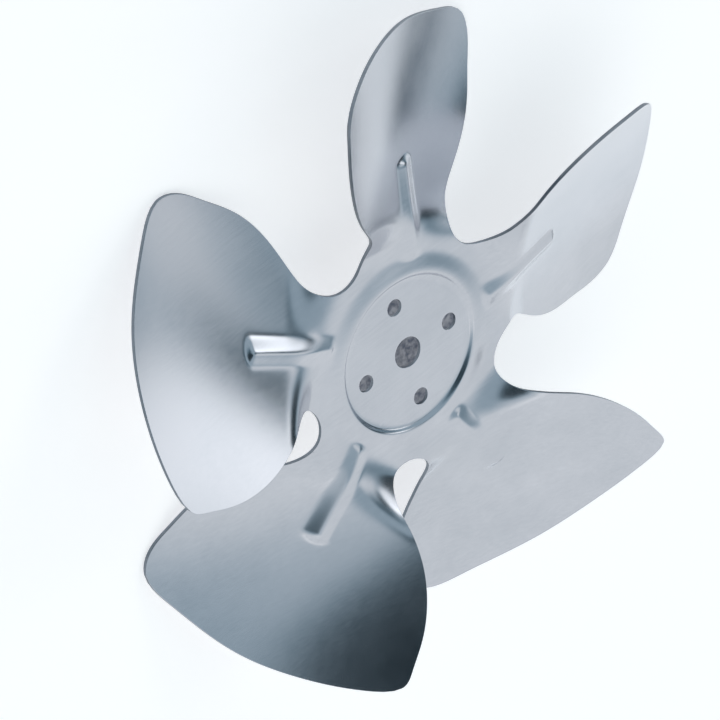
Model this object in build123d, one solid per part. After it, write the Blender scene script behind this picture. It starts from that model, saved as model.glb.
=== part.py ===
from build123d import *
from math import comb, cos, radians, sin
import os

from numpy.polynomial import Polynomial

# Axial fan impeller: one sheet-metal pressing, in millimetres.
# Z is the axis of rotation, Z = 0 is the upper face of the hub seat around the bore,
# and +X passes through one of the four screw holes.

# Sheet
THICKNESS = 1.0

# Hub: flat seat set a little below the web, and the pressed ring around it
BORE_R = 4.1
SCREW_PCD = 28.28
SCREW_HOLE_R = 2.2
SCREW_COUNT = 4
SEAT_R = 20.1
SEAT_DROP = 0.3
RING_INNER_W = 2.1
RING_OUTER_W = 2.2
RING_CREST_R = SEAT_R + RING_INNER_W
RING_FOOT_R = RING_CREST_R + RING_OUTER_W
RING_CREST_H = 0.8

# Blades: count, where the first blade's twist axis lies, and the plan outline, whose edges are
# given as distance beyond the fold line and angle in degrees
BLADES = 5
SECTOR = 360 / BLADES
BLADE_AZIMUTH = -2.6
WEB_W = 0.5
FOLD_X = RING_FOOT_R + WEB_W
CORNER_TRIM = 0.48
NOTCH_R = 8.5
NOTCH_CENTRE_R = FOLD_X / cos(radians(SECTOR / 2)) - CORNER_TRIM + NOTCH_R
NOTCH_LEAD = 3.8
NOTCH_WRAP_BEHIND = 100.0
NOTCH_WRAP_AHEAD = 95.0
NOTCH_LAP = 25.0
TRAILING_EDGE = [(29.6, -25.9), (38.1, -26.0), (46.6, -24.1), (54.1, -22.2), (58.1, -19.7)]
TIP_EDGE = [(59.6, -12.0), (60.9, 2.0), (60.8, 13.0), (60.2, 21.0)]
LEADING_EDGE = [(57.4, 27.0), (53.6, 28.2), (46.1, 30.2), (36.6, 31.9), (26.6, 31.7)]

# Blade surface: z = fade(x) * (rise(x) + slope(x) y + dish(x) y^2 + curl(x) y^3), x along the blade,
# y across it. Each row of coefficients is a polynomial in (x - MID_X).
FOLD_RUN = 17.0
FULL_X = FOLD_X + FOLD_RUN
SKIN_RUN = 65.1
END_X = FOLD_X + SKIN_RUN
HALF_Y = 60.0
MID_RUN = 31.7
MID_X = FOLD_X + MID_RUN
RISE = [-3.54, -0.122, 0.0023]
SLOPE = [0.439, 0.00287, -0.0000455]
DISH = [0.00397, -0.0000285]
CURL = [0.000018]

# Stiffening bead pressed upwards along each blade root: a round-ended tube arched along the sheet
BEAD_AZIMUTH = 3.5
BEAD_LEAD = 4.6
BEAD_BEND = 8.5
BEAD_RUN = 19.7
BEAD_START = FOLD_X + BEAD_LEAD
BEAD_MIDDLE = BEAD_START + BEAD_BEND
BEAD_END = BEAD_START + BEAD_RUN
BEAD_R = 4.0
BEAD_RISE = 2.0

BLANK_CUT = 60.0


def polar(radius, angle):
    """Point in plan at a radius and an angle in degrees."""
    return Vector(radius * cos(radians(angle)), radius * sin(radians(angle)))


def about_mid(coefficients):
    """Polynomial in x from coefficients in (x - MID_X)."""
    return Polynomial(coefficients)(Polynomial([-MID_X, 1]))


def fade_in():
    """Quintic that rises from 0 at FOLD_X to 1 at FULL_X, flat and straight at both ends."""
    t = Polynomial([-FOLD_X, 1]) / (FULL_X - FOLD_X)
    return 10 * t**3 - 15 * t**4 + 6 * t**5


def height(x, y):
    """Upper face of the sheet at a point in the blade's own plan."""
    fade = 0.0 if x < FOLD_X else (fade_in()(x) if x < FULL_X else 1.0)
    return fade * sum(about_mid(row)(x) * y**n for n, row in enumerate((RISE, SLOPE, DISH, CURL)))


def control_values(polynomial, low, high, degree):
    """Bezier control values of a polynomial over the range low to high."""
    a = list(polynomial(Polynomial([low, high - low])).coef)
    a += [0.0] * (degree + 1 - len(a))
    return [sum(comb(i, k) / comb(degree, k) * a[k] for k in range(i + 1)) for i in range(degree + 1)]


def patch(x0, x1, fade, degree, drop=0.0):
    """Exact Bezier face of the blade surface between two stations, lowered by an amount."""
    along = [control_values(fade * about_mid(row), x0, x1, degree) for row in (RISE, SLOPE, DISH, CURL)]
    across = [control_values(Polynomial([0, 1]) ** n, -HALF_Y, HALF_Y, 3) for n in range(4)]
    points = []
    for i in range(degree + 1):
        x = x0 + (x1 - x0) * i / degree
        row = []
        for j in range(4):
            z = sum(along[n][i] * across[n][j] for n in range(4)) - drop
            row.append(Vector(x, HALF_Y * (2 * j / 3 - 1), z))
        points.append(row)
    return Face.make_bezier_surface(points)


def notch_arc(side, start, end):
    """Arc of the round notch beside a blade; side is +1 ahead of the blade and -1 behind it."""
    angle = side * SECTOR / 2 + NOTCH_LEAD
    centre = polar(NOTCH_CENTRE_R, angle)
    return ThreePointArc(*[centre + polar(NOTCH_R, angle + 180 + a) for a in (start, (start + end) / 2, end)])


def blade_outline():
    """Closed plan of one blade, from the fold line outwards."""
    behind = notch_arc(-1, NOTCH_LAP, -NOTCH_WRAP_BEHIND)
    ahead = notch_arc(1, NOTCH_WRAP_AHEAD, -NOTCH_LAP)
    knots = [polar(FOLD_X + r, a) for r, a in TRAILING_EDGE + TIP_EDGE + LEADING_EDGE]
    rim = Spline(behind @ 1, *knots, ahead @ 0, tangents=[behind % 1, ahead % 0])
    inner = polar(NOTCH_CENTRE_R - NOTCH_R - 12, NOTCH_LEAD)
    closing = [Line(ahead @ 1, inner), Line(inner, behind @ 0)]
    return Face(Wire([behind, rim, ahead] + closing))


def skin(depth, drop=0.0):
    """Layer between the fold line and past the tip, thickened by a signed depth."""
    root = patch(FOLD_X, FULL_X, fade_in(), 7, drop)
    outer = patch(FULL_X, END_X, Polynomial([1.0]), 4, drop)
    return [Solid.thicken(face, depth, normal_override=(0, 0, 1)) for face in (root, outer)]


def sheet():
    """Blade sheet cut to its plan."""
    prism = extrude(blade_outline(), BLANK_CUT, both=True)
    root, outer = (piece & prism for piece in skin(-THICKNESS))
    return root + outer


def bead_tube(wall):
    """Round-ended arched tube whose crown stands above the sheet, shrunk by the wall thickness."""
    points = []
    for radius in (BEAD_START, BEAD_MIDDLE, BEAD_END):
        foot = polar(radius, BEAD_AZIMUTH)
        points.append(foot + Vector(0, 0, height(foot.X, foot.Y) + BEAD_RISE - BEAD_R))
    spine = ThreePointArc(*points)
    tube = sweep(Plane(origin=spine @ 0, z_dir=spine % 0) * Circle(BEAD_R - wall), path=spine)
    ends = [Pos(*point) * Sphere(BEAD_R - wall) for point in (points[0], points[2])]
    return tube + ends[0] + ends[1]


def blade():
    """One blade with its stiffening bead, in its own frame."""
    ridge = bead_tube(0)
    for layer in skin(-BLANK_CUT / 6, THICKNESS / 2):
        ridge -= layer
    return sheet() + ridge - bead_tube(THICKNESS)


def hub():
    """Flat web with the sunk seat, the ring around it, and the notch arcs cut out."""
    t = THICKNESS
    top = [(SEAT_R, -SEAT_DROP), (RING_CREST_R, RING_CREST_H), (RING_FOOT_R, 0)]
    edge = FOLD_X / cos(radians(SECTOR / 2)) + 1
    lines = [Line((0, -SEAT_DROP), top[0])]
    lines += [Spline(top[0], top[1], top[2], tangents=[(1, 0), (1, 0), (1, 0)])]
    lines += [Line(top[2], (edge, 0)), Line((edge, 0), (edge, -t))]
    low = [(x, z - t) for x, z in top]
    lines += [Line((edge, -t), low[2]), Spline(low[2], low[1], low[0], tangents=[(-1, 0), (-1, 0), (-1, 0)])]
    lines += [Line(low[0], (0, -SEAT_DROP - t)), Line((0, -SEAT_DROP - t), (0, -SEAT_DROP))]
    disc = revolve(Plane.XZ * Face(Wire(lines)), Axis.Z)
    rim = Rot(Z=SECTOR / 2) * RegularPolygon(FOLD_X, BLADES, major_radius=False)
    for k in range(BLADES):
        rim -= Pos(*polar(NOTCH_CENTRE_R, SECTOR * (k + 0.5) + NOTCH_LEAD)) * Circle(NOTCH_R)
    return disc & extrude(rim, BLANK_CUT, both=True)


def holes():
    """Centre bore and the screw holes."""
    cutters = [Cylinder(BORE_R, BLANK_CUT)]
    for k in range(SCREW_COUNT):
        cutters.append(Pos(*polar(SCREW_PCD / 2, 360 / SCREW_COUNT * k)) * Cylinder(SCREW_HOLE_R, BLANK_CUT))
    return cutters


def impeller():
    """The whole pressing."""
    first = blade()
    body = hub().fuse(*[Rot(Z=SECTOR * k) * first for k in range(BLADES)])
    body = Pos(Z=SEAT_DROP) * Rot(Z=BLADE_AZIMUTH) * body
    for cutter in holes():
        body -= cutter
    return body


os.makedirs("parts", exist_ok=True)
part = impeller()
export_step(part, "parts/impeller.step")
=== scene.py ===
"""Axial fan impeller: one pressed aluminium sheet, dressed over its frame and set in a plain studio."""

import logging
import math
from dataclasses import dataclass, field
from enum import Enum

import bmesh
import bpy
import numpy as np
from mathutils import Matrix, Vector

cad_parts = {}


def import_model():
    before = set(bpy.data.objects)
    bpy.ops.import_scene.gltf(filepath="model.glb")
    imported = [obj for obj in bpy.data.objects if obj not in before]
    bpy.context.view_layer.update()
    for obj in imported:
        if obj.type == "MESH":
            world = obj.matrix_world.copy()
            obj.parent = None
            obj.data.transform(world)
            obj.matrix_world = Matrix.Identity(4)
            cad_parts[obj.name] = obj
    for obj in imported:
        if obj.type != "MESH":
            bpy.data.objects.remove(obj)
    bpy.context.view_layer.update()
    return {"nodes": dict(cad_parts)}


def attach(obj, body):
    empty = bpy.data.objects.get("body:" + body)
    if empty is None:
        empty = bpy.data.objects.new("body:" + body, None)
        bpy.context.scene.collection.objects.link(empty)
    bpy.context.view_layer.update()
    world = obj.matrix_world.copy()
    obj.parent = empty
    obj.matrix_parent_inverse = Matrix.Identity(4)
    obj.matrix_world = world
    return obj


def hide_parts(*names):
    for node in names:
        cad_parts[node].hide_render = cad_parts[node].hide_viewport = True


MM = 0.001
LOG = logging.getLogger("impeller")
Colour = tuple[float, float, float]
PolarPoints = tuple[tuple[float, float], ...]


class FaceSide(Enum):
    """Material slots of the sheet: its rolled faces and its sheared edge."""

    ROLLED = 0
    SHEARED = 1


def quintic_fade(t: np.ndarray) -> np.ndarray:
    """Rise from 0 to 1 that is flat and straight at both ends: 10t^3 - 15t^4 + 6t^5 on 0..1.

    Args:
        t: Positions, clipped to 0..1.

    Returns:
        The faded values.
    """
    t = np.clip(t, 0.0, 1.0)
    return t**3 * (10.0 - 15.0 * t + 6.0 * t * t)


def polar(radius: np.ndarray, degrees: np.ndarray) -> np.ndarray:
    """Plan points from radius and angle.

    Args:
        radius: Radii.
        degrees: Angles in degrees.

    Returns:
        Points, one per row, as x and y.
    """
    angle = np.radians(degrees)
    return np.stack([radius * np.cos(angle), radius * np.sin(angle)], axis=-1)


def clamped_spline(knots: np.ndarray, start: np.ndarray, end: np.ndarray, count: int) -> np.ndarray:
    """Cubic spline through knots, on chord length, with unit end tangents.

    The slopes solve the usual tridiagonal system of equal second derivatives, and each span is the
    Hermite cubic of its two points and slopes.

    Args:
        knots: Points to pass through, one per row.
        start: Unit tangent at the first point.
        end: Unit tangent at the last point.
        count: How many points to give back.

    Returns:
        Points along the spline.
    """
    chord = np.linalg.norm(np.diff(knots, axis=0), axis=1)
    s = np.concatenate([[0.0], np.cumsum(chord)])
    n = len(knots)
    system = np.zeros((n, n))
    rhs = np.zeros((n, 2))
    inner = np.arange(1, n - 1)
    system[0, 0] = system[-1, -1] = 1.0
    rhs[0], rhs[-1] = start, end
    before, after = chord[:-1], chord[1:]
    system[inner, inner - 1] = after
    system[inner, inner] = 2.0 * (before + after)
    system[inner, inner + 1] = before
    steps = np.diff(knots, axis=0) / chord[:, None]
    rhs[inner] = 3.0 * (after[:, None] * steps[:-1] + before[:, None] * steps[1:])
    slopes = np.linalg.solve(system, rhs)
    at = np.linspace(0.0, s[-1], count)
    k = np.clip(np.searchsorted(s, at, side="right") - 1, 0, n - 2)
    h = chord[k][:, None]
    t = ((at - s[k]) / chord[k])[:, None]
    return (
        knots[k] * (1 + 2 * t) * (1 - t) ** 2
        + slopes[k] * h * t * (1 - t) ** 2
        + knots[k + 1] * t**2 * (3 - 2 * t)
        + slopes[k + 1] * h * t**2 * (t - 1)
    )


def along(curve: np.ndarray, shares: np.ndarray) -> np.ndarray:
    """Points of a curve at shares of its length.

    Args:
        curve: Points of the curve.
        shares: Shares from 0 to 1.

    Returns:
        The points there.
    """
    reach = np.concatenate([[0.0], np.cumsum(np.linalg.norm(np.diff(curve, axis=0), axis=1))])
    at = shares * reach[-1]
    return np.stack([np.interp(at, reach, curve[:, 0]), np.interp(at, reach, curve[:, 1])], axis=-1)


def direction(azimuth: float, elevation: float) -> Vector:
    """Unit vector from the impeller's centre.

    Args:
        azimuth: Degrees round the axis from +X.
        elevation: Degrees above the floor.

    Returns:
        The vector.
    """
    a, e = math.radians(azimuth), math.radians(elevation)
    return Vector((math.cos(e) * math.cos(a), math.cos(e) * math.sin(a), math.sin(e)))


def add_node(
    tree: bpy.types.NodeTree, kind: str, inputs: dict[str | int, object] | None = None, **settings: object
) -> bpy.types.Node:
    """Add a shader node, set its properties and feed its inputs.

    Args:
        tree: Node tree to add to.
        kind: Node type without its ShaderNode prefix.
        inputs: Sockets to link and values to set, by input name or place.
        settings: Properties of the node, set before its inputs.

    Returns:
        The node.
    """
    made = tree.nodes.new("ShaderNode" + kind)
    for name, value in settings.items():
        setattr(made, name, value)
    feed(tree, made, inputs or {})
    return made


def feed(tree: bpy.types.NodeTree, made: bpy.types.Node, inputs: dict[str | int, object]) -> None:
    """Feed a node's inputs: a socket is linked, anything else is set as the value.

    Args:
        tree: Node tree of the node.
        made: The node.
        inputs: Sockets and values by input name or place.
    """
    for name, value in inputs.items():
        if isinstance(value, bpy.types.NodeSocket):
            tree.links.new(value, made.inputs[name])
        else:
            made.inputs[name].default_value = value


def math_node(tree: bpy.types.NodeTree, operation: str, *terms: object) -> bpy.types.NodeSocket:
    """Math node over sockets and numbers.

    Args:
        tree: Node tree to add to.
        operation: Name of the operation.
        terms: Its inputs in order.

    Returns:
        The result.
    """
    return add_node(tree, "Math", dict(enumerate(terms)), operation=operation).outputs[0]


def noise_node(
    tree: bpy.types.NodeTree, place: bpy.types.NodeSocket, scale: object, detail: float, rough: float = 0.5
) -> bpy.types.NodeSocket:
    """Noise of a scale and detail at a place.

    Args:
        tree: Node tree to add to.
        place: Coordinates.
        scale: Scale, as a socket or a number.
        detail: Levels of finer noise.
        rough: Share of each finer level.

    Returns:
        The noise's value.
    """
    inputs = {"Vector": place, "Scale": scale, "Detail": detail, "Roughness": rough}
    return add_node(tree, "TexNoise", inputs).outputs["Fac"]


def add_mesh(name: str, corners: list[Vector]) -> bpy.types.Object:
    """Flat four-cornered piece in the scene.

    Args:
        name: Name of the piece and its mesh.
        corners: Its corners in order, in metres.

    Returns:
        The piece.
    """
    mesh = bpy.data.meshes.new(name)
    mesh.from_pydata(corners, [], [(0, 1, 2, 3)])
    piece = bpy.data.objects.new(name, mesh)
    bpy.context.scene.collection.objects.link(piece)
    return piece


@dataclass
class Hub:
    """Flat bolted seat and the pressed ring around it, in millimetres."""

    bore_r: float = 4.1
    screw_circle_r: float = 14.14
    screw_hole_r: float = 2.2
    seat_r: float = 20.1
    web_z: float = 0.3
    crest_r: float = 21.3
    crest_z: float = 0.95
    foot_r: float = 27.2
    split_r: float = 24.4
    screws: int = 4
    ring_crowding: float = 1.3

    def ring_height(self, radius: np.ndarray) -> np.ndarray:
        """Height of the ring: a smooth step up from the seat to the crest and down to the web.

        Args:
            radius: Distances from the axis.

        Returns:
            Heights over the seat.
        """
        up = np.clip((radius - self.seat_r) / (self.crest_r - self.seat_r), 0.0, 1.0)
        down = np.clip((self.foot_r - radius) / (self.foot_r - self.crest_r), 0.0, 1.0)
        inner = self.crest_z * up * up * (3.0 - 2.0 * up)
        outer = self.web_z + (self.crest_z - self.web_z) * down * down * (3.0 - 2.0 * down)
        return np.where(radius < self.crest_r, inner, outer)

    def ring_radii(self, rows: int) -> np.ndarray:
        """Radii of the ring's rows, half of them on its steep inner side.

        Args:
            rows: Steps from the seat to the split.

        Returns:
            Radii.
        """
        half = rows // 2
        inner = np.linspace(self.seat_r, self.crest_r, half, endpoint=False)
        return np.concatenate([inner, np.linspace(self.crest_r, self.split_r, rows - half + 1)])

    def seat_quarter(self, around: int, side: int, throat: int, rings: int, phase: float) -> np.ndarray:
        """Flat quarter of the seat around one screw hole.

        A point is carried in a straight line from the hole's rim to the quarter's border, which runs along
        the seat's edge, one radial side, the bore and the other radial side. Its angle on the rim is half
        way between even steps and the angle of its border point.

        Args:
            around: Segments along the seat's edge.
            side: Segments along each radial side.
            throat: Segments along the bore.
            rings: Rings between the hole and the border.
            phase: Turn of the border in degrees, so that its points meet the ring's.

        Returns:
            Grid of plan points, closed around the hole.
        """
        low, high = phase - 45.0, phase + 45.0
        edge = polar(np.full(around, self.seat_r), np.linspace(low, high, around, endpoint=False))
        down = polar(np.linspace(self.seat_r, self.bore_r, side, endpoint=False), np.full(side, high))
        bore = polar(np.full(throat, self.bore_r), np.linspace(high, low, throat, endpoint=False))
        back = polar(np.linspace(self.bore_r, self.seat_r, side, endpoint=False), np.full(side, low))
        border = np.concatenate([edge, down, bore, back])
        border = np.concatenate([border, border[:1]])
        centre = np.array([self.screw_circle_r, 0.0])
        ray = border - centre
        angle = np.unwrap(np.arctan2(ray[:, 1], ray[:, 0]))
        even = angle[0] + 2 * np.pi * np.linspace(0.0, 1.0, len(border))
        angle = 0.5 * (angle + even)
        rim = centre + self.screw_hole_r * np.stack([np.cos(angle), np.sin(angle)], axis=-1)
        t = np.linspace(0.0, 1.0, rings + 1)[:, None, None] ** self.ring_crowding
        return rim[None] * (1 - t) + border[None] * t


@dataclass
class Bead:
    """Low stiffening rib along a blade root: two flat flanks and a rounded crest, in millimetres."""

    inner_x: float = 24.9
    inner_y: float = 0.4
    outer_x: float = 50.6
    outer_y: float = 3.05
    low: float = 0.85
    high: float = 1.3
    half_width: float = 2.9
    crest_round: float = 0.6
    foot_round: float = 0.22
    run_in: float = 2.6
    end_pitch: float = 2.0
    cut_off: float = 4.0

    def height(self, x: np.ndarray, y: np.ndarray) -> np.ndarray:
        """Height of the rib over the sheet.

        The distance to the crest line, taken past its outer end as well, is rounded at the crest by the
        root of its square plus a small one. The height falls straight with it to the foot, where a
        smooth maximum with zero rounds the corner. What that leaves at the cut-off, in half widths, is
        taken away all over, and the rib fades in over its first millimetres.

        Args:
            x: Plan x in the blade's frame.
            y: Plan y in the blade's frame.

        Returns:
            Heights.
        """
        run = math.hypot(self.outer_x - self.inner_x, self.outer_y - self.inner_y)
        dx, dy = (self.outer_x - self.inner_x) / run, (self.outer_y - self.inner_y) / run
        ahead = (x - self.inner_x) * dx + (y - self.inner_y) * dy
        across = -(x - self.inner_x) * dy + (y - self.inner_y) * dx
        past = np.clip(ahead - run, 0.0, None) * self.end_pitch
        distance = np.sqrt(across**2 + past**2 + self.crest_round**2) - self.crest_round
        share = np.clip(ahead / run, 0.0, 1.0)
        top = self.low + (self.high - self.low) * share
        flank = top * (1.0 - distance / self.half_width)
        rib = 0.5 * (flank + np.sqrt(flank**2 + self.foot_round**2))
        last = top * (1.0 - self.cut_off)
        rest = 0.5 * (last + np.sqrt(last**2 + self.foot_round**2))
        fade = quintic_fade(ahead / self.run_in) * (distance < self.cut_off * self.half_width)
        return np.clip(rib - rest, 0.0, None) * fade


@dataclass
class BladeForm:
    """Plan and surface of one blade in its own frame, x along it, in millimetres."""

    azimuth: float = -2.6
    sector: float = 72.0
    fold_x: float = 24.9
    full_x: float = 41.9
    mid_x: float = 56.6
    notch_centre_r: float = 38.798
    notch_r: float = 8.5
    notch_lead: float = 3.8
    wrap_behind: float = 100.0
    wrap_ahead: float = 95.0
    rise: tuple[float, ...] = (-3.54, -0.122, 0.0023)
    slope: tuple[float, ...] = (0.439, 0.00287, -0.0000455)
    dish: tuple[float, ...] = (0.00397, -0.0000285)
    curl: tuple[float, ...] = (0.000018,)
    trailing: PolarPoints = ((54.5, -25.9), (63.0, -26.0), (71.5, -24.1), (79.0, -22.2), (83.0, -19.7))
    tip: PolarPoints = ((84.5, -12.0), (85.8, 2.0), (85.7, 13.0), (85.1, 21.0))
    leading: PolarPoints = ((82.3, 27.0), (78.5, 28.2), (71.0, 30.2), (61.5, 31.9), (51.5, 31.7))
    split: float = 55.0
    corner_r: tuple[float, float] = (83.2, 83.0)
    corner_a: tuple[float, float] = (-19.0, 26.4)
    wrap_points: int = 240
    rim_points: int = 2400
    throat_points: int = 100
    lead_points: int = 200
    row_evenness: float = 0.62
    column_evenness: float = 0.45
    bead: Bead = field(default_factory=Bead)

    @property
    def root_r(self) -> float:
        """Radius of the notch bottoms."""
        return self.notch_centre_r - self.notch_r

    def height(self, x: np.ndarray, y: np.ndarray) -> np.ndarray:
        """Height of the blade over the web.

        It is a fade along x, times a cubic in y whose four coefficients are polynomials in x, plus the rib.

        Args:
            x: Plan x.
            y: Plan y.

        Returns:
            Heights over the web.
        """
        at = x - self.mid_x
        terms = (self.rise, self.slope, self.dish, self.curl)
        rise, slope, dish, curl = (np.polynomial.polynomial.polyval(at, term) for term in terms)
        total = rise + slope * y + dish * y**2 + curl * y**3
        fade = quintic_fade((x - self.fold_x) / (self.full_x - self.fold_x))
        return fade * total + self.bead.height(x, y)

    def notch(self, side: int, start: float, end: float, count: int) -> np.ndarray:
        """Arc of the round notch, turned about its centre from one wrap angle to another.

        Args:
            side: +1 for the notch ahead of the blade, -1 for the one behind.
            start: First wrap angle in degrees from the notch bottom.
            end: Last wrap angle.
            count: Points on the arc.

        Returns:
            Points along the arc.
        """
        angle = side * self.sector / 2 + self.notch_lead
        centre = polar(np.array(self.notch_centre_r), np.array(angle))
        turn = angle + 180.0 + np.linspace(start, end, count)
        return centre + polar(np.full(count, self.notch_r), turn)

    def sides(self) -> tuple[np.ndarray, np.ndarray, np.ndarray]:
        """Plan curves that bound the blade: its outline and both notch stretches beside the hub.

        Returns:
            The rim from split to split round the tip, the stretch behind the blade and the one ahead of it,
            both from the notch bottom outwards.
        """
        behind = self.notch(-1, 0.0, -self.wrap_behind, self.wrap_points)
        ahead = self.notch(1, self.wrap_ahead, 0.0, self.wrap_points)
        edge = np.array(self.trailing + self.tip + self.leading)
        knots = np.concatenate([behind[-1:], polar(edge[:, 0], edge[:, 1]), ahead[:1]])
        leave, arrive = behind[-1] - behind[-2], ahead[1] - ahead[0]
        leave, arrive = leave / np.linalg.norm(leave), arrive / np.linalg.norm(arrive)
        rim = clamped_spline(knots, leave, arrive, self.rim_points)
        low = self.notch(-1, 0.0, -self.split, self.throat_points)
        high = self.notch(1, 0.0, self.split, self.throat_points)
        start = self.notch(-1, -self.split, -self.wrap_behind, self.lead_points)
        finish = self.notch(1, self.wrap_ahead, self.split, self.lead_points)
        return np.concatenate([start[:-1], rim, finish[1:]]), low, high

    def tip_grid(self, rows: int, columns: int) -> np.ndarray:
        """Blade outside the line between the notch splits, as a Coons patch of its four sides.

        The patch is the sum of both ruled surfaces less the bilinear one. Columns are drawn towards the
        bead, where the shape bends most, and rows towards the root.

        Args:
            rows: Steps from the root to the tip.
            columns: Steps across the blade.

        Returns:
            Grid of plan points.
        """
        rim, _, _ = self.sides()
        corners = polar(np.array(self.corner_r), np.array(self.corner_a))
        cut = [int(np.argmin(np.linalg.norm(rim - corner, axis=1))) for corner in corners]
        v = self.row_steps(rows)
        u = self.column_steps(columns)
        left = along(rim[: cut[0] + 1], v)
        tip = along(rim[cut[0] : cut[1] + 1], u)
        right = along(rim[: cut[1] - 1 : -1], v)
        root = self.root_line(u)
        u, v = u[None, :, None], v[:, None, None]
        ruled = left[:, None] * (1 - u) + right[:, None] * u + root[None] * (1 - v) + tip[None] * v
        bilinear = (left[0] * (1 - u) + right[0] * u) * (1 - v) + (left[-1] * (1 - u) + right[-1] * u) * v
        return ruled - bilinear

    def row_steps(self, rows: int) -> np.ndarray:
        """Shares from root to tip, closer together over the bead."""
        s = np.linspace(0.0, 1.0, rows + 1)
        return self.row_evenness * s + (1.0 - self.row_evenness) * s**2

    def column_steps(self, columns: int) -> np.ndarray:
        """Shares across the blade, closer together over the bead in the middle."""
        s = np.linspace(-1.0, 1.0, columns + 1)
        return 0.5 + 0.5 * (self.column_evenness * s + (1.0 - self.column_evenness) * s**3)

    def root_line(self, u: np.ndarray) -> np.ndarray:
        """Line between the notch splits, even in angle and in radius.

        Args:
            u: Shares along it.

        Returns:
            Plan points.
        """
        _, low, high = self.sides()
        radii = np.hypot(*low[-1]), np.hypot(*high[-1])
        turns = [math.degrees(math.atan2(point[1], point[0])) for point in (low[-1], high[-1])]
        return polar(radii[0] * (1 - u) + radii[1] * u, turns[0] * (1 - u) + turns[1] * u)

    def throat_grid(self, inner_r: float, rows: int, columns: int, shoulder: int) -> np.ndarray:
        """Sector of web between a circle round the hub and the blade's root line and notch stretches.

        Args:
            inner_r: Radius of the circle.
            rows: Steps outwards.
            columns: Steps across the root line.
            shoulder: Steps along each notch stretch.

        Returns:
            Grid of plan points.
        """
        _, low, high = self.sides()
        even = np.linspace(0.0, 1.0, shoulder + 1)
        root = self.root_line(self.column_steps(columns))
        outer = np.concatenate([along(low, even)[:-1], root, along(high, even)[::-1][1:]])
        first = self.notch_lead - self.sector / 2
        inner = polar(np.full(len(outer), inner_r), first + np.linspace(0.0, self.sector, len(outer)))
        t = np.linspace(0.0, 1.0, rows + 1)[:, None, None]
        return inner[None] * (1 - t) + outer[None] * t


@dataclass(frozen=True)
class Grain:
    """Shader group: faint rolling lines, cloudy wiping marks and fine specks of mill-finish sheet."""

    name: str = "rolled_grain"
    line_stretch: tuple[float, float, float] = (110.0, 1500.0, 1500.0)
    line_share: float = 0.35
    cloud_scale: float = 42.0
    speck_scale: float = 900.0
    speck_share: float = 0.5

    def build(self) -> bpy.types.ShaderNodeTree:
        """Make the group once, with inputs for its strengths and outputs for tone, roughness and height.

        The tone is the clouds plus a share of the lines. The roughness is the given one plus the spread
        times the tone's distance from its mean, and the height is the lines plus a share of the specks.

        Returns:
            The shader node tree.
        """
        if self.name in bpy.data.node_groups:
            return bpy.data.node_groups[self.name]
        tree = bpy.data.node_groups.new(self.name, "ShaderNodeTree")
        for label, value in (("Line Density", 1.0), ("Cloud Size", 1.0), ("Roughness", 0.3), ("Spread", 0.1)):
            socket = tree.interface.new_socket(label, in_out="INPUT", socket_type="NodeSocketFloat")
            socket.default_value = value
        for label in ("Tone", "Roughness", "Height"):
            tree.interface.new_socket(label, in_out="OUTPUT", socket_type="NodeSocketFloat")
        given, result = tree.nodes.new("NodeGroupInput").outputs, tree.nodes.new("NodeGroupOutput")
        place = add_node(tree, "TexCoord").outputs["Object"]
        drawn = add_node(tree, "Mapping", {"Vector": place, "Scale": self.line_stretch}).outputs["Vector"]
        lines = noise_node(tree, drawn, given["Line Density"], 3.0)
        scale = math_node(tree, "MULTIPLY", given["Cloud Size"], self.cloud_scale)
        clouds = noise_node(tree, place, scale, 4.0, 0.62)
        specks = noise_node(tree, place, self.speck_scale, 2.0)
        tone = math_node(tree, "MULTIPLY_ADD", lines, self.line_share, clouds)
        centred = math_node(tree, "SUBTRACT", tone, 0.5 + 0.5 * self.line_share)
        rough = math_node(tree, "MULTIPLY_ADD", centred, given["Spread"], given["Roughness"])
        height = math_node(tree, "MULTIPLY_ADD", specks, self.speck_share, lines)
        feed(tree, result, {"Tone": tone, "Roughness": rough, "Height": height})
        return tree


@dataclass(frozen=True)
class AluminiumFinish:
    """Bare aluminium: its colours, sheen and grain."""

    name: str
    light: Colour = (0.66, 0.675, 0.72)
    dark: Colour = (0.54, 0.565, 0.61)
    roughness: float = 0.2
    spread: float = 0.12
    bump: float = 0.012
    cloud: float = 1.0
    relief: float = 0.0002
    tone_span: tuple[float, float] = (0.35, 0.95)

    def material(self) -> bpy.types.Material:
        """Build the material from the shared grain group.

        Returns:
            The material.
        """
        made = bpy.data.materials.new(self.name)
        made.use_nodes = True
        tree = made.node_tree
        strengths = {"Cloud Size": self.cloud, "Roughness": self.roughness, "Spread": self.spread}
        grain = add_node(tree, "Group", strengths, node_tree=Grain().build()).outputs
        tone = add_node(tree, "ValToRGB", {"Fac": grain["Tone"]})
        for stop, at, colour in zip(tone.color_ramp.elements, self.tone_span, (self.dark, self.light)):
            stop.position, stop.color = at, (*colour, 1.0)
        relief = {"Strength": self.bump, "Distance": self.relief, "Height": grain["Height"]}
        bump = add_node(tree, "Bump", relief)
        shader = {"Metallic": 1.0, "Base Color": tone.outputs["Color"], "Roughness": grain["Roughness"]}
        feed(tree, tree.nodes["Principled BSDF"], shader | {"Normal": bump.outputs["Normal"]})
        return made


ROLLED_FACE = AluminiumFinish("rolled_aluminium")
# The sheared edge is painted dark grey: partly its rougher cut face, partly painted shade that draws dark
# lines along the sheet's edges.
SHEARED_EDGE_AND_SHADE = AluminiumFinish(
    "sheared_edge_and_shade",
    light=(0.26, 0.29, 0.33),
    dark=(0.14, 0.17, 0.20),
    roughness=0.42,
    spread=0.15,
    bump=0.2,
    cloud=4.0,
)


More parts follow.
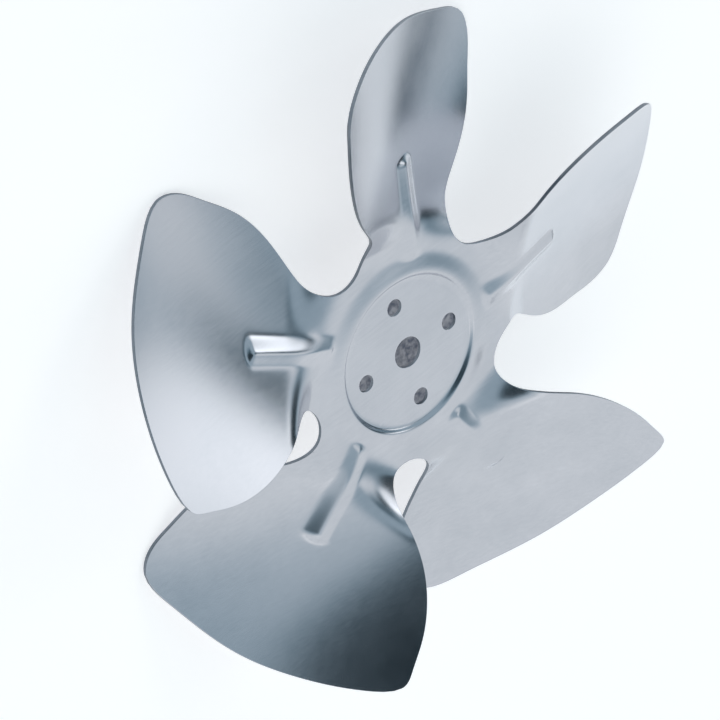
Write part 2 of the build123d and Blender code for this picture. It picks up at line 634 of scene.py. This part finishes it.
@dataclass
class Impeller:
    """The whole pressing: hub, five blades and their beads in one sheet."""

    thickness: float = 1.0
    edge_round: float = 0.15
    bevel_segments: int = 2
    bevel_from: float = 60.0
    weld: float = 0.003
    slope_step: float = 0.05
    blades: int = 5
    columns: int = 64
    shoulder: int = 14
    rows: int = 80
    throat_rows: int = 14
    ring_rows: int = 14
    seat_rings: int = 7
    seat_side: int = 16
    bore_steps: int = 24
    hub: Hub = field(default_factory=Hub)
    blade: BladeForm = field(default_factory=BladeForm)

    def top_z(self, x: np.ndarray, y: np.ndarray) -> np.ndarray:
        """Height of the upper face: the hub's ring by radius, plus the blade and its rib."""
        return self.hub.ring_height(np.hypot(x, y)) + self.blade.height(x, y)

    def upper(self, plan: np.ndarray) -> np.ndarray:
        """Upper face over plan points.

        Args:
            plan: Plan points in the blade's frame.

        Returns:
            Surface points in millimetres.
        """
        z = self.top_z(plan[..., 0], plan[..., 1])
        return np.concatenate([plan, z[..., None]], axis=-1)

    def lower(self, plan: np.ndarray) -> np.ndarray:
        """Lower face under plan points.

        The slope is taken by central differences, and a wall of even thickness stands that thickness
        times the root of one plus slope squared below the upper face.

        Args:
            plan: Plan points in the blade's frame.

        Returns:
            Surface points in millimetres.
        """
        x, y = plan[..., 0], plan[..., 1]
        step = self.slope_step
        slope_x = (self.top_z(x + step, y) - self.top_z(x - step, y)) / (2 * step)
        slope_y = (self.top_z(x, y + step) - self.top_z(x, y - step)) / (2 * step)
        z = self.top_z(x, y) - self.thickness * np.sqrt(1.0 + slope_x**2 + slope_y**2)
        return np.concatenate([plan, z[..., None]], axis=-1)

    def turned(self, grid: np.ndarray, degrees: float) -> np.ndarray:
        """Grid turned about the axis.

        Args:
            grid: Points.
            degrees: Angle of the turn.

        Returns:
            Turned points.
        """
        c, s = math.cos(math.radians(degrees)), math.sin(math.radians(degrees))
        return grid @ np.array([[c, s, 0.0], [-s, c, 0.0], [0.0, 0.0, 1.0]])

    @property
    def across(self) -> int:
        """Steps across one blade's sector; times the blades, they have to divide by the screws."""
        return self.columns + 2 * self.shoulder

    def sector_blocks(self) -> list[tuple[np.ndarray, list[str]]]:
        """Plan grids of one sector: ring, throat and blade.

        Returns:
            Each grid with the names of its sides that lie on the sheet's edge.
        """
        lead, half = self.blade.notch_lead, self.blade.sector / 2
        angle = np.linspace(lead - half, lead + half, self.across + 1)[None]
        radius = self.hub.ring_radii(self.ring_rows)[:, None]
        ring = polar(*np.broadcast_arrays(radius, angle))
        throat = self.blade.throat_grid(self.hub.split_r, self.throat_rows, self.columns, self.shoulder)
        tip = self.blade.tip_grid(self.rows, self.columns)
        return [(ring, []), (throat, ["notches"]), (tip, ["left", "right", "top"])]

    def edge_lines(self, grid: np.ndarray, sides: list[str]) -> list[np.ndarray]:
        """Border rows of a grid that lie on the sheet's edge.

        Args:
            grid: Points, by row and column.
            sides: Names of the free sides.

        Returns:
            Point rows.
        """
        rows = {
            "left": grid[:, :1].swapaxes(0, 1),
            "right": grid[:, -1:].swapaxes(0, 1),
            "top": grid[-1:],
        }
        lines = [rows[side] for side in sides if side in rows]
        if "notches" in sides:
            lines += [grid[-1:, : self.shoulder + 1], grid[-1:, -self.shoulder - 1 :]]
        return lines

    def seat_blocks(self) -> tuple[list[np.ndarray], list[np.ndarray]]:
        """Seat as four quarters, each around a screw hole.

        Returns:
            Grids of the rolled faces, and grids of the edges in the screw holes and the bore.
        """
        spacing = self.blade.sector / self.across
        first = self.blade.azimuth + self.blade.notch_lead - self.blade.sector / 2
        quarter_turn = 360.0 / self.hub.screws
        around = self.across * self.blades // self.hub.screws
        phase = (first + quarter_turn / 2) % spacing
        plan = self.hub.seat_quarter(around, self.seat_side, self.bore_steps, self.seat_rings, phase)
        flat = np.concatenate([plan, np.zeros(plan.shape[:2] + (1,))], axis=-1)
        under = flat - np.array([0.0, 0.0, self.thickness])
        bore = slice(around + self.seat_side, around + self.seat_side + self.bore_steps + 1)
        hole_rim = np.concatenate([flat[:1], under[:1]])
        bore_rim = np.concatenate([flat[-1:, bore], under[-1:, bore]])
        faces, edges = [], []
        for k in range(self.hub.screws):
            faces += [self.turned(grid, quarter_turn * k) for grid in (flat, under)]
            edges += [self.turned(grid, quarter_turn * k) for grid in (hole_rim, bore_rim)]
        return faces, edges

    def blocks(self) -> tuple[list[np.ndarray], list[np.ndarray]]:
        """All faces of the sheet as point grids.

        Returns:
            Grids of the rolled faces, and grids of the sheared edges between them.
        """
        faces, edges = self.seat_blocks()
        sector = []
        for plan, sides in self.sector_blocks():
            top, bottom = self.upper(plan), self.lower(plan)
            pairs = zip(self.edge_lines(top, sides), self.edge_lines(bottom, sides))
            sector.append((top, bottom, [np.concatenate(pair) for pair in pairs]))
        for k in range(self.blades):
            turn = self.blade.azimuth + self.blade.sector * k
            for top, bottom, rims in sector:
                faces += [self.turned(top, turn), self.turned(bottom, turn)]
                edges += [self.turned(rim, turn) for rim in rims]
        return faces, edges

    def mesh(self) -> bpy.types.Mesh:
        """Weld the grids into one closed skin with its faces outward.

        Returns:
            The mesh, in metres.
        """
        rolled, sheared = self.blocks()
        points, faces, slots, base = [], [], [], 0
        for number, grid in enumerate(rolled + sheared):
            m, n = grid.shape[:2]
            index = base + np.arange(m * n).reshape(m, n)
            corners = [index[:-1, :-1], index[1:, :-1], index[1:, 1:], index[:-1, 1:]]
            quads = np.stack(corners, axis=-1).reshape(-1, 4)
            slot = FaceSide.ROLLED if number < len(rolled) else FaceSide.SHEARED
            faces.append(quads)
            points.append(grid.reshape(-1, 3) * MM)
            slots.append(np.full(len(quads), slot.value))
            base += m * n
        mesh = bpy.data.meshes.new("impeller_sheet")
        mesh.from_pydata(np.concatenate(points), [], np.concatenate(faces))
        mesh.polygons.foreach_set("material_index", np.concatenate(slots))
        mesh.polygons.foreach_set("use_smooth", np.ones(len(mesh.polygons), bool))
        skin = bmesh.new()
        skin.from_mesh(mesh)
        bmesh.ops.remove_doubles(skin, verts=skin.verts, dist=self.weld * MM)
        bmesh.ops.recalc_face_normals(skin, faces=skin.faces)
        LOG.info("open edges after the weld: %d", sum(not edge.is_manifold for edge in skin.edges))
        skin.to_mesh(mesh)
        skin.free()
        return mesh

    def build(self) -> bpy.types.Object:
        """Make the sheet, round its edges and dress it.

        Returns:
            The impeller's object.
        """
        mesh = self.mesh()
        mesh.materials.append(ROLLED_FACE.material())
        mesh.materials.append(SHEARED_EDGE_AND_SHADE.material())
        piece = bpy.data.objects.new("pressed_impeller", mesh)
        bpy.context.scene.collection.objects.link(piece)
        edge = piece.modifiers.new("edge", "BEVEL")
        edge.width = self.edge_round * MM
        edge.segments = self.bevel_segments
        edge.limit_method = "ANGLE"
        edge.angle_limit = math.radians(self.bevel_from)
        edge.harden_normals = True
        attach(piece, "root")
        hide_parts("impeller")
        return piece


@dataclass(frozen=True)
class SkyPatch:
    """Soft round patch of the surround, brighter or darker than the rest."""

    azimuth: float
    elevation: float
    core: float
    reach: float
    strength: float

    def add(
        self, tree: bpy.types.NodeTree, ray: bpy.types.NodeSocket, total: bpy.types.NodeSocket
    ) -> bpy.types.NodeSocket:
        """Add the patch to the running brightness, full inside its core angle and gone at its reach.

        Args:
            tree: The world's node tree.
            ray: Direction of view.
            total: Brightness so far.

        Returns:
            Brightness with the patch.
        """
        middle = direction(self.azimuth, self.elevation)
        dot = add_node(tree, "VectorMath", {0: ray, 1: middle}, operation="DOT_PRODUCT")
        span = {
            "Value": dot.outputs["Value"],
            "From Min": math.cos(math.radians(self.reach)),
            "From Max": math.cos(math.radians(self.core)),
            "To Max": self.strength,
        }
        ease = add_node(tree, "MapRange", span, interpolation_type="SMOOTHSTEP")
        return math_node(tree, "ADD", ease.outputs["Result"], total)


@dataclass(frozen=True)
class View:
    """Camera by its lens, its right and back directions and its place, in metres."""

    lens: float = 195.08
    sensor: float = 36.0
    right: tuple[float, float, float] = (0.72596, -0.23850, 0.64505)
    back: tuple[float, float, float] = (-0.41583, 0.59485, 0.68793)
    spot: tuple[float, float, float] = (-0.41067, 0.57505, 0.65645)
    clip: tuple[float, float] = (0.05, 20.0)

    def build(self) -> None:
        """Set the camera in the scene; its up direction is square to the other two."""
        lens = bpy.data.cameras.new("camera")
        lens.lens, lens.sensor_width = self.lens, self.sensor
        lens.clip_start, lens.clip_end = self.clip
        back = Vector(self.back).normalized()
        up = back.cross(Vector(self.right).normalized()).normalized()
        turn = Matrix((up.cross(back), up, back)).transposed().to_4x4()
        holder = bpy.data.objects.new("camera", lens)
        holder.matrix_world = Matrix.Translation(Vector(self.spot)) @ turn
        bpy.context.scene.collection.objects.link(holder)
        bpy.context.scene.camera = holder


@dataclass
class Studio:
    """Pale floor, slate card, soft uneven surround and camera, in metres."""

    floor_z: float = -0.0173
    floor_half: float = 3.0
    floor_colour: Colour = (0.94, 0.93, 0.92)
    floor_lift: float = 0.5
    matt: float = 0.9
    bright_tint: Colour = (0.965, 0.985, 1.0)
    dark_tint: Colour = (0.56, 0.94, 1.18)
    tint_full: float = 1.0
    base: float = 0.5
    least: float = 0.03
    patches: tuple[SkyPatch, ...] = (
        SkyPatch(-105.0, 5.0, 57.0, 78.0, 0.38),
        SkyPatch(-14.0, 21.0, 9.0, 17.0, -0.62),
        SkyPatch(10.0, 32.0, 8.0, 14.5, 0.9),
        SkyPatch(21.0, 36.0, 3.0, 10.0, 0.7),
        SkyPatch(8.0, 6.0, 8.0, 20.0, -0.25),
        SkyPatch(-28.0, 44.0, 3.0, 13.0, -0.25),
        SkyPatch(-12.0, 55.0, 8.0, 17.0, 0.4),
        SkyPatch(9.0, 46.0, 3.5, 9.0, -0.6),
        SkyPatch(17.0, 60.0, 5.0, 13.0, -0.4),
        SkyPatch(133.0, 64.0, 9.0, 18.0, -0.5),
        SkyPatch(130.0, 25.0, 20.0, 45.0, -0.42),
        SkyPatch(-165.0, 62.0, 8.0, 25.0, 0.2),
    )
    card_azimuth: float = -26.0
    card_distance: float = 0.21
    card_width: float = 0.08
    card_height: float = 0.034
    card_colour: Colour = (0.25, 0.31, 0.37)
    # Painted shade under the seat: centre, core and reach of the grey spot, its colour and its mottle.
    shade_centre: tuple[float, float] = (0.0106, -0.0152)
    shade_core: float = 0.0168
    shade_reach: float = 0.024
    shade_colour: Colour = (0.27, 0.29, 0.35)
    mottle_scale: float = 900.0
    mottle_span: tuple[float, float] = (0.35, 0.65)
    mottle_least: float = 0.78
    view: View = View()

    def matt_material(self, name: str, colour: Colour) -> bpy.types.Material:
        """Plain matt material, for the floor and the card.

        Args:
            name: Its name.
            colour: Its base colour.

        Returns:
            The material.
        """
        made = bpy.data.materials.new(name)
        made.use_nodes = True
        shader = {"Base Color": (*colour, 1.0), "Roughness": self.matt}
        feed(made.node_tree, made.node_tree.nodes["Principled BSDF"], shader)
        return made

    def floor(self) -> None:
        """Make the pale floor, which is lifted to white for the view and for what the metal mirrors, with a
        painted shade spot under the seat.
        """
        half = self.floor_half
        plan = [(-half, -half), (half, -half), (half, half), (-half, half)]
        piece = add_mesh("floor", [Vector((x, y, self.floor_z)) for x, y in plan])
        made = self.matt_material("pale_floor", self.floor_colour)
        tree = made.node_tree
        # Painted shade under the seat: the floor's colour greys there and its lift to white drops away.
        colour, white = self.shade(tree)
        path = add_node(tree, "LightPath").outputs
        seen = math_node(tree, "MAXIMUM", path["Is Camera Ray"], path["Is Glossy Ray"])
        seen = math_node(tree, "MAXIMUM", seen, path["Is Transmission Ray"])
        lift = math_node(tree, "MULTIPLY", seen, white)
        shader = {"Base Color": colour, "Specular IOR Level": 0.0, "Emission Strength": lift}
        feed(tree, tree.nodes["Principled BSDF"], shader | {"Emission Color": (1.0, 1.0, 1.0, 1.0)})
        piece.data.materials.append(made)

    def shade(self, tree: bpy.types.NodeTree) -> tuple[bpy.types.NodeSocket, bpy.types.NodeSocket]:
        """Painted shade: a mottled grey spot painted on the floor under the seat, which shows through its
        holes.

        Args:
            tree: Node tree of the floor's material.

        Returns:
            Colour of the floor, and its lift, which falls to zero inside the spot.
        """
        place = add_node(tree, "TexCoord").outputs["Object"]
        centre = {0: place, 1: (*self.shade_centre, self.floor_z)}
        apart = add_node(tree, "VectorMath", centre, operation="DISTANCE").outputs["Value"]
        span = {"Value": apart, "From Min": self.shade_reach, "From Max": self.shade_core}
        spot = add_node(tree, "MapRange", span, interpolation_type="SMOOTHSTEP").outputs["Result"]
        mottle = noise_node(tree, place, self.mottle_scale, 3.0)
        low, high = self.mottle_span
        span = {"Value": mottle, "From Min": low, "From Max": high, "To Min": self.mottle_least}
        patchy = add_node(tree, "MapRange", span).outputs["Result"]
        mask = math_node(tree, "MULTIPLY", spot, patchy)
        ends = {"Factor": mask, "A": (*self.floor_colour, 1.0), "B": (*self.shade_colour, 1.0)}
        colour = add_node(tree, "Mix", ends, data_type="RGBA").outputs["Result"]
        span = {"Value": mask, "To Min": self.floor_lift, "To Max": 0.0}
        return colour, add_node(tree, "MapRange", span).outputs["Result"]

    def card(self) -> None:
        """Make the low slate card on the floor beyond the view, which only the metal mirrors."""
        across = direction(self.card_azimuth + 90.0, 0.0) * (self.card_width / 2)
        foot = direction(self.card_azimuth, 0.0) * self.card_distance + Vector((0.0, 0.0, self.floor_z))
        top = foot + Vector((0.0, 0.0, self.card_height))
        piece = add_mesh("slate_card", [foot - across, foot + across, top + across, top - across])
        piece.data.materials.append(self.matt_material("slate_card", self.card_colour))
        piece.visible_camera = False
        piece.visible_shadow = False

    def world(self) -> None:
        """Make the surround: its brightness is the base with the patches added, bluer where it is dark."""
        world = bpy.data.worlds.new("surround")
        world.use_nodes = True
        tree = world.node_tree
        ray = add_node(tree, "TexCoord").outputs["Generated"]
        base = add_node(tree, "Value").outputs[0]
        base.default_value = self.base
        brightness = base
        for patch in self.patches:
            brightness = patch.add(tree, ray, brightness)
        kept = math_node(tree, "MAXIMUM", brightness, self.least)
        span = {"Value": brightness, "From Max": self.tint_full}
        share = add_node(tree, "MapRange", span, interpolation_type="SMOOTHSTEP").outputs["Result"]
        ends = {"Factor": share, "A": (*self.dark_tint, 1.0), "B": (*self.bright_tint, 1.0)}
        colour = add_node(tree, "Mix", ends, data_type="RGBA").outputs["Result"]
        feed(tree, tree.nodes["Background"], {"Color": colour, "Strength": kept})
        bpy.context.scene.world = world

    def build(self) -> None:
        """Set the floor, the card, the surround and the camera."""
        self.floor()
        self.card()
        self.world()
        self.view.build()
        bpy.context.scene.view_settings.view_transform = "Standard"


def main() -> None:
    """Load the frame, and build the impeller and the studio."""
    logging.basicConfig(level=logging.INFO, format="%(message)s")
    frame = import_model()
    LOG.info("frame loaded: %d node(s)", len(frame["nodes"]))
    piece = Impeller().build()
    LOG.info("%s: %d faces before its bevel", piece.name, len(piece.data.polygons))
    Studio().build()
    LOG.info("studio: floor, slate card, surround and camera")
    bpy.context.view_layer.update()


if __name__ == "__main__":
    main()
